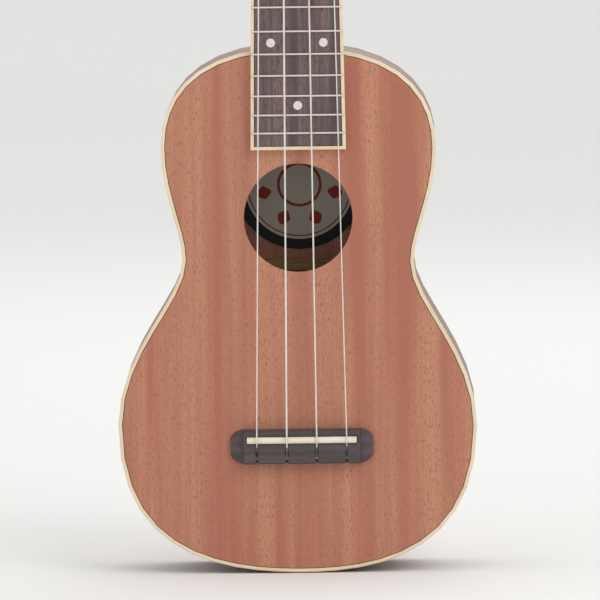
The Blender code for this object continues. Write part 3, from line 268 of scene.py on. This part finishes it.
def drawn_metal(name, light, dark, direction, roughness):
    """Nickel silver, plated steel or brass: bright, with marks along the way it was drawn or polished."""
    material, tree, shader = start_material(name, {"Metallic": 1.0, "Roughness": roughness})
    marks = add(
        tree,
        "TexNoise",
        {"Scale": 1.0, "Detail": 3.0, "Roughness": 0.6},
        {"Vector": stretched(tree, direction, MARK_WIDTH, MARK_LENGTH)},
    )
    tree.links.new(blended(tree, marks.outputs["Fac"], light, dark), shader.inputs["Base Color"])
    smoother, rougher = METAL_DRIFT
    rough = add(
        tree,
        "MapRange",
        {"To Min": roughness + smoother, "To Max": roughness + rougher},
        {"Value": marks.outputs["Fac"]},
    )
    tree.links.new(rough.outputs[0], shader.inputs["Roughness"])
    return material


def ringed_paper(name, centre, radius, cream, red, charcoal):
    """Uncoated paper printed with plain rings and a ring of lozenges, and nothing to read."""
    material, tree, shader = start_material(name, {"Roughness": 0.85, "Specular IOR Level": 0.25})
    coordinates = add(tree, "TexCoord")
    place = add(
        tree,
        "Mapping",
        {"vector_type": "TEXTURE", "Location": centre, "Scale": (radius, radius, radius)},
        {"Vector": coordinates.outputs["Object"]},
    )
    parts = add(tree, "SeparateXYZ", {}, {"Vector": place.outputs[0]})
    flat = add(tree, "CombineXYZ", {}, {"X": parts.outputs["X"], "Y": parts.outputs["Z"]})
    distance = add(tree, "VectorMath", {"operation": "LENGTH"}, {0: flat.outputs[0]})
    rings = add(tree, "ValToRGB", {}, {"Fac": distance.outputs["Value"]})
    ramp = rings.color_ramp
    ramp.interpolation = "CONSTANT"
    ramp.elements[0].color = (*cream, 1.0)
    ramp.elements[1].position = CHARCOAL_EDGE
    ramp.elements[1].color = (*charcoal, 1.0)
    for inner, outer in RED_RINGS:
        ramp.elements.new(inner).color = (*red, 1.0)
        ramp.elements.new(outer).color = (*cream, 1.0)
    # A lozenge is where a wave round the label stands above a slope away from its ring
    angle = add(tree, "Math", {"operation": "ARCTAN2"}, {0: parts.outputs["X"], 1: parts.outputs["Z"]})
    turns = add(tree, "Math", {"operation": "MULTIPLY", 1: LOZENGE_COUNT}, {0: angle.outputs[0]})
    wave = add(tree, "Math", {"operation": "COSINE"}, {0: turns.outputs[0]})
    offset = add(
        tree, "Math", {"operation": "SUBTRACT", 1: LOZENGE_RADIUS}, {0: distance.outputs["Value"]}
    )
    spread = add(tree, "Math", {"operation": "ABSOLUTE"}, {0: offset.outputs[0]})
    slope = add(tree, "Math", {"operation": "MULTIPLY", 1: LOZENGE_TAPER}, {0: spread.outputs[0]})
    lozenge = add(tree, "Math", {"operation": "SUBTRACT"}, {0: wave.outputs[0], 1: slope.outputs[0]})
    inside = add(tree, "Math", {"operation": "GREATER_THAN", 1: LOZENGE_LEVEL}, {0: lozenge.outputs[0]})
    fibre = add(
        tree,
        "TexNoise",
        {"Scale": 1.0, "Detail": 4.0, "Roughness": 0.7},
        {"Vector": stretched(tree, "x", FIBRE_WIDTH, FIBRE_LENGTH)},
    )
    shade = add(tree, "MapRange", {"To Min": 0.88, "To Max": 1.06}, {"Value": fibre.outputs["Fac"]})
    colour = blended(tree, inside.outputs[0], rings.outputs["Color"], red)
    colour = blended(tree, 1.0, colour, shade.outputs[0], "MULTIPLY")
    tree.links.new(colour, shader.inputs["Base Color"])
    return material


def dress(names, material):
    """Give CAD nodes a material."""
    for name in names:
        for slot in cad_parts[name].material_slots:
            slot.material = material


def turned_piece(name, radius, profile, facets, place, axis, material, hollow=0.0):
    """A small turned piece: its profile spun round an axis, with a hollow in its cap if one is wanted."""
    mesh = bpy.data.meshes.new(name)
    work = bmesh.new()
    rings = []
    for share, height in profile:
        ring = []
        for step in range(facets):
            angle = 2 * math.pi * step / facets
            x = radius * share * math.cos(angle)
            y = radius * share * math.sin(angle)
            ring.append(work.verts.new((x, y, height)))
        rings.append(ring)
    for low, high in zip(rings, rings[1:]):
        for step in range(facets):
            after = (step + 1) % facets
            work.faces.new((low[step], low[after], high[after], high[step]))
    work.faces.new(list(reversed(rings[0])))
    cap = work.faces.new(rings[-1])
    if hollow:
        bmesh.ops.poke(work, faces=[cap], offset=-hollow)
    bmesh.ops.recalc_face_normals(work, faces=work.faces)
    work.to_mesh(mesh)
    work.free()
    mesh.shade_smooth()
    mesh.set_sharp_from_angle(angle=SHARP_ANGLE)
    mesh.materials.append(material)
    piece = bpy.data.objects.new(name, mesh)
    bpy.context.scene.collection.objects.link(piece)
    piece.matrix_world = Matrix.Translation(place) @ axis.to_track_quat("Z", "Y").to_matrix().to_4x4()
    return piece


def colour_property(name, code, description):
    """A colour that a user can change, with its default written as sRGB hex."""
    return bpy.props.FloatVectorProperty(
        name=name, description=description, subtype="COLOR", size=3, min=0.0, max=1.0, default=linear(code)
    )


class UkuleleColours(bpy.types.PropertyGroup):
    """Colours of the woods, trim and strings."""

    mahogany_light: colour_property("Mahogany, light", "bc8364", "Light ribbons of the soundboard")
    mahogany_dark: colour_property("Mahogany, dark", "a5644f", "Dark ribbons of the soundboard")
    mahogany_pore: colour_property("Mahogany pores", "6d3a2b", "Open pores of the mahogany")
    rosewood_light: colour_property("Rosewood, light", "785f5f", "Light streaks of the fretboard")
    rosewood_dark: colour_property("Rosewood, dark", "4a3a3c", "Dark streaks of the fretboard")
    bridge_light: colour_property("Bridge, light", "54474a", "Light streaks of the bridge")
    bridge_dark: colour_property("Bridge, dark", "3c3234", "Dark streaks of the bridge")
    binding: colour_property("Binding", "e6d4b8", "Cream plastic of the body's and board's binding")
    saddle: colour_property("Bone", "ece2d2", "Saddle and nut")
    nylon: colour_property("Nylon", "eeebe6", "Strings")


class UkuleleSizes(bpy.types.PropertyGroup):
    """Sizes of the small fitted pieces and of the grain."""

    dot_diameter: bpy.props.FloatProperty(
        name="Dot diameter", description="Diameter of a position dot", default=0.004, unit="LENGTH"
    )
    dot_spread: bpy.props.FloatProperty(
        name="Dot spread", description="Between the centres of the paired dots", default=0.024, unit="LENGTH"
    )
    screw_radius: bpy.props.FloatProperty(
        name="Screw radius", description="Radius of a tuner plate's screw head", default=0.0012, unit="LENGTH"
    )
    ribbon: bpy.props.FloatProperty(
        name="Ribbon width", description="Width of the mahogany's stripes", default=0.0105, unit="LENGTH"
    )
    # Real pores are too narrow to show at this size of picture
    pore: bpy.props.FloatProperty(
        name="Pore width", description="Width of an open pore as drawn", default=0.00045, unit="LENGTH"
    )


class UKULELE_OT_body(bpy.types.Operator):
    """Finish the soundboard, back, sides and binding"""

    bl_idname = "ukulele.body"
    bl_label = "Body"

    def execute(self, context):
        colours = context.scene.ukulele_colours
        sizes = context.scene.ukulele_sizes
        grain = {
            "stripe": sizes.ribbon,
            "pore_size": sizes.pore,
            "pore_share": 0.6,
            "roughness": 0.42,
            "relief": 0.00008,
        }
        # Ribbon mahogany, sanded and sealed satin: broad low stripes with open dark pores
        light = tuple(colours.mahogany_light)
        dark = tuple(colours.mahogany_dark)
        pore = tuple(colours.mahogany_pore)
        top = wood("satin_ribbon_mahogany_top", light, dark, pore, "z", **grain)
        dress(["soundboard", "back_plate"], top)
        # Bent sides: the same mahogany as the top, painted darker for the shade that falls on the sides, with
        # its grain running round the rim
        painted_shade_colours = (linear("8c5f49"), linear("6f4836"), linear("4a2c1f"))
        rim = wood("satin_mahogany_side_painted_shade", *painted_shade_colours, "xz", **grain)
        dress(["side_bass", "side_treble"], rim)
        # Cream cellulose binding, scraped flush and polished: an even, slightly cloudy plastic
        trim = mottled(
            "scraped_cream_binding",
            {"Roughness": 0.32, "IOR": 1.5},
            tuple(colours.binding),
            linear("dcc7a6"),
            patch=0.02,
            roughness_spread=0.1,
        )
        dress(["binding_top", "binding_back", "fretboard_binding"], trim)
        return {"FINISHED"}


class UKULELE_OT_inside(bpy.types.Operator):
    """Finish the braces, blocks, bridge patch and label"""

    bl_idname = "ukulele.inside"
    bl_label = "Inside"

    def execute(self, context):
        # Bare spruce, planed and left unfinished: pale close grain gone brown in the box
        spruce = wood(
            "planed_spruce_brace",
            linear("b39563"),
            linear("8f7143"),
            linear("7a5c34"),
            "x",
            stripe=0.0018,
            pore_size=0.0006,
            pore_share=0.25,
            roughness=0.7,
            relief=0.00003,
        )
        names = ["brace_top_upper", "brace_top_lower", "brace_back_upper", "brace_back_lower", "bridge_patch"]
        dress(names, spruce)
        # Rough-sawn mahogany of the end blocks: dull, with its pores wide open
        block = wood(
            "sawn_mahogany_block",
            linear("8a5a44"),
            linear("6d432f"),
            linear("4f2e20"),
            "z",
            stripe=0.006,
            pore_size=0.0005,
            pore_share=0.5,
            roughness=0.75,
            relief=0.0001,
        )
        dress(["neck_block", "tail_block"], block)
        low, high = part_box("label")
        # Uncoated printed paper: dull, with a faint fibre
        paper = ringed_paper(
            "printed_uncoated_paper",
            (low + high) / 2,
            (high.x - low.x) / 2,
            cream=linear("d9cfc0"),
            red=linear("b0443c"),
            charcoal=linear("35343a"),
        )
        dress(["label"], paper)
        return {"FINISHED"}


class UKULELE_OT_neck(bpy.types.Operator):
    """Finish the neck, fretboard, nut, saddle and frets, and set the position dots"""

    bl_idname = "ukulele.neck"
    bl_label = "Neck"

    def execute(self, context):
        colours = context.scene.ukulele_colours
        sizes = context.scene.ukulele_sizes
        # Straight-grained mahogany, satin from handling
        neck = wood(
            "satin_neck_mahogany",
            linear("9a6450"),
            linear("7f4e3b"),
            linear("5b3425"),
            "z",
            stripe=0.009,
            pore_size=sizes.pore,
            pore_share=0.55,
            roughness=0.4,
            relief=0.00006,
        )
        dress(["neck"], neck)
        # Oiled rosewood: dark and reddish streaks, open pores, a dull sheen
        board = wood(
            "oiled_rosewood_board",
            tuple(colours.rosewood_light),
            tuple(colours.rosewood_dark),
            linear("2c2022"),
            "z",
            stripe=0.0032,
            pore_size=0.0005,
            pore_share=0.7,
            roughness=0.5,
            relief=0.00008,
        )
        dress(["fretboard"], board)
        # Nickel silver fret wire, crowned and polished across the board
        wire = drawn_metal(
            "polished_nickel_silver", linear("e9e5da"), linear("c9c4b8"), direction="x", roughness=0.24
        )
        dress(FRET_NAMES, wire)
        # Bone, ground and buffed: close to white, faintly mottled, a little light passes into it
        bone = mottled(
            "buffed_bone",
            {"Roughness": 0.28, "IOR": 1.54, "Subsurface Weight": 0.08, "Subsurface Radius": (0.002,) * 3},
            tuple(colours.saddle),
            linear("e0d3bd"),
            patch=0.004,
            roughness_spread=0.12,
        )
        dress(["nut", "saddle"], bone)
        # Pearl inlay, sanded flush: pinkish white that drifts to a greyer pink
        pearl = mottled(
            "sanded_shell_pearl",
            {"Roughness": 0.2, "IOR": 1.6, "Coat Weight": 0.4},
            linear("e6d8da"),
            linear("cfc4c6"),
            patch=0.0014,
            roughness_spread=0.1,
        )
        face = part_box("fretboard")[0].y
        centres = [(number, 0.0) for number in SINGLE_DOTS]
        centres += [(DOUBLE_DOT, side * sizes.dot_spread / 2) for side in (-1, 1)]
        for number, x in centres:
            ends = [corner.z for fret in (number - 1, number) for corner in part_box(f"fret_{fret:02d}")]
            side = "" if x == 0 else "_left" if x < 0 else "_right"
            dot = turned_piece(
                f"position_dot_{number:02d}{side}",
                sizes.dot_diameter / 2,
                DOT_PROFILE,
                DOT_FACETS,
                Vector((x, face, sum(ends) / len(ends))),
                Vector((0, -1, 0)),
                pearl,
            )
            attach(dot, "root")
        return {"FINISHED"}


class UKULELE_OT_bridge(bpy.types.Operator):
    """Finish the bridge"""

    bl_idname = "ukulele.bridge"
    bl_label = "Bridge"

    def execute(self, context):
        colours = context.scene.ukulele_colours
        # Oiled rosewood, darker than the board, grain across the body
        bridge = wood(
            "oiled_rosewood_bridge",
            tuple(colours.bridge_light),
            tuple(colours.bridge_dark),
            linear("241b1d"),
            "x",
            stripe=0.003,
            pore_size=0.00045,
            pore_share=0.6,
            roughness=0.48,
            relief=0.00006,
        )
        dress(["bridge"], bridge)
        return {"FINISHED"}


class UKULELE_OT_strings(bpy.types.Operator):
    """Finish the strings"""

    bl_idname = "ukulele.strings"
    bl_label = "Strings"

    def execute(self, context):
        # Drawn nylon: milky and smooth, so it shows white with a soft highlight
        nylon = mottled(
            "drawn_clear_nylon",
            {"Roughness": 0.22, "IOR": 1.53, "Transmission Weight": 0.15},
            tuple(context.scene.ukulele_colours.nylon),
            linear("dfdbd4"),
            patch=0.01,
            roughness_spread=0.08,
        )
        dress([f"string_{name}" for name in STRING_NAMES], nylon)
        return {"FINISHED"}


class UKULELE_OT_tuners(bpy.types.Operator):
    """Finish the tuning machines and drive their plate screws"""

    bl_idname = "ukulele.tuners"
    bl_label = "Tuning machines"

    def execute(self, context):
        # Nickel-plated steel, stamped and tumbled: bright and slightly grey
        steel = drawn_metal(
            "nickel_plated_steel", linear("dcdbd6"), linear("b9b7b0"), direction="z", roughness=0.26
        )
        # Cut brass gear, bare metal: yellow, with the cutter's marks
        brass = drawn_metal("cut_brass", linear("d8b56a"), linear("b48f48"), direction="y", roughness=0.3)
        # Cream moulded plastic: glossy, with a pearly drift
        cream = mottled(
            "moulded_ivory_plastic",
            {"Roughness": 0.25, "IOR": 1.5},
            linear("eadfc8"),
            linear("d9c8a4"),
            patch=0.006,
            roughness_spread=0.08,
        )
        for name in STRING_NAMES:
            dress([f"tuner_plate_{name}", f"tuner_post_{name}", f"tuner_worm_{name}"], steel)
            dress([f"tuner_gear_{name}"], brass)
            dress([f"tuner_button_{name}"], cream)
            x, z = TUNER_PLACES[name]
            for number, offset in enumerate(SCREW_OFFSETS, 1):
                place = HEAD_ORIGIN + HEAD_BACK * (HEAD_THICKNESS + PLATE_FACE) + HEAD_UP * (z + offset)
                place.x = x
                screw = turned_piece(
                    f"plate_screw_{name}_{number}",
                    context.scene.ukulele_sizes.screw_radius,
                    SCREW_PROFILE,
                    SCREW_FACETS,
                    place,
                    HEAD_BACK,
                    steel,
                    hollow=SCREW_HOLLOW,
                )
                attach(screw, "root")
        return {"FINISHED"}


class UKULELE_OT_stage(bpy.types.Operator):
    """Set the floor, world, lamps and camera"""

    bl_idname = "ukulele.stage"
    bl_label = "Stage"

    def execute(self, context):
        scene = context.scene
        scene.view_settings.view_transform = "Standard"
        mesh = bpy.data.meshes.new("floor")
        half = FLOOR_SIZE / 2
        level = CAD_BOX[0][2] - FLOOR_DROP
        corners = [(x, y, level) for x, y in ((-half, -half), (half, -half), (half, half), (-half, half))]
        mesh.from_pydata(corners, [], [(0, 1, 2, 3)])
        # Matt white paint: even and dull, with a drift too broad to show as marks
        paint = mottled(
            "matt_white_paint",
            {"Roughness": 0.9},
            linear("f8f8f6"),
            linear("f5f5f3"),
            patch=4.0,
            roughness_spread=0.02,
        )
        mesh.materials.append(paint)
        floor = bpy.data.objects.new("floor", mesh)
        scene.collection.objects.link(floor)

        world = bpy.data.worlds.new("soft_studio")
        world.use_nodes = True
        scene.world = world
        tree = world.node_tree
        tree.nodes.clear()
        path = add(tree, "LightPath")
        seen = path.outputs["Is Camera Ray"]
        for output in ("Is Glossy Ray", "Is Transmission Ray"):
            seen = add(tree, "Math", {"operation": "MAXIMUM"}, {0: seen, 1: path.outputs[output]}).outputs[0]
        soft = add(tree, "Background", {"Color": WHITE, "Strength": LIGHT_STRENGTH})
        white = add(tree, "Background", {"Color": WHITE, "Strength": WHITE_STRENGTH})
        shown = add(tree, "MixShader", {}, {0: seen, 1: soft.outputs[0], 2: white.outputs[0]})
        add(tree, "OutputWorld", {}, {"Surface": shown.outputs[0]})

        for name, place, width, power in LAMPS:
            lamp = bpy.data.lights.new(name, "AREA")
            lamp.size = width
            lamp.energy = power
            holder = bpy.data.objects.new(name, lamp)
            holder.location = place
            holder.rotation_euler = (VIEW_CENTRE - Vector(place)).to_track_quat("-Z", "Y").to_euler()
            scene.collection.objects.link(holder)

        lens = bpy.data.cameras.new("camera")
        lens.sensor_width = SENSOR_WIDTH
        lens.lens = SENSOR_WIDTH * VIEW_DISTANCE / VIEW_WIDTH
        camera = bpy.data.objects.new("camera", lens)
        scene.collection.objects.link(camera)
        towards = Vector(
            (
                math.sin(VIEW_SIDE) * math.cos(VIEW_ELEVATION),
                -math.cos(VIEW_SIDE) * math.cos(VIEW_ELEVATION),
                math.sin(VIEW_ELEVATION),
            )
        )
        right = Vector((math.sin(VIEW_ROLL), 0.0, math.cos(VIEW_ROLL))).cross(towards).normalized()
        upward = towards.cross(right)
        turn = Matrix((right, upward, towards)).transposed().to_4x4()
        camera.matrix_world = Matrix.Translation(VIEW_CENTRE + towards * VIEW_DISTANCE) @ turn
        scene.camera = camera
        return {"FINISHED"}


OPERATORS = (
    UKULELE_OT_body,
    UKULELE_OT_inside,
    UKULELE_OT_neck,
    UKULELE_OT_bridge,
    UKULELE_OT_strings,
    UKULELE_OT_tuners,
    UKULELE_OT_stage,
)


class UKULELE_PT_looks(bpy.types.Panel):
    """Lists the operators"""

    bl_idname = "UKULELE_PT_looks"
    bl_label = "Ukulele"
    bl_space_type = "VIEW_3D"
    bl_region_type = "UI"
    bl_category = "Ukulele"

    def draw(self, context):
        for operator in OPERATORS:
            self.layout.operator(operator.bl_idname)


CLASSES = (UkuleleColours, UkuleleSizes, *OPERATORS, UKULELE_PT_looks)


def register():
    """Register the classes and their settings on the scene."""
    for cls in CLASSES:
        bpy.utils.register_class(cls)
    bpy.types.Scene.ukulele_colours = bpy.props.PointerProperty(type=UkuleleColours)
    bpy.types.Scene.ukulele_sizes = bpy.props.PointerProperty(type=UkuleleSizes)


def unregister():
    """Remove the settings and classes."""
    del bpy.types.Scene.ukulele_sizes
    del bpy.types.Scene.ukulele_colours
    for cls in reversed(CLASSES):
        bpy.utils.unregister_class(cls)


def main():
    """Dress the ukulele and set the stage."""
    register()
    for step in ("body", "inside", "neck", "bridge", "strings", "tuners", "stage"):
        getattr(bpy.ops.ukulele, step)()


if __name__ == "__main__":
    main()
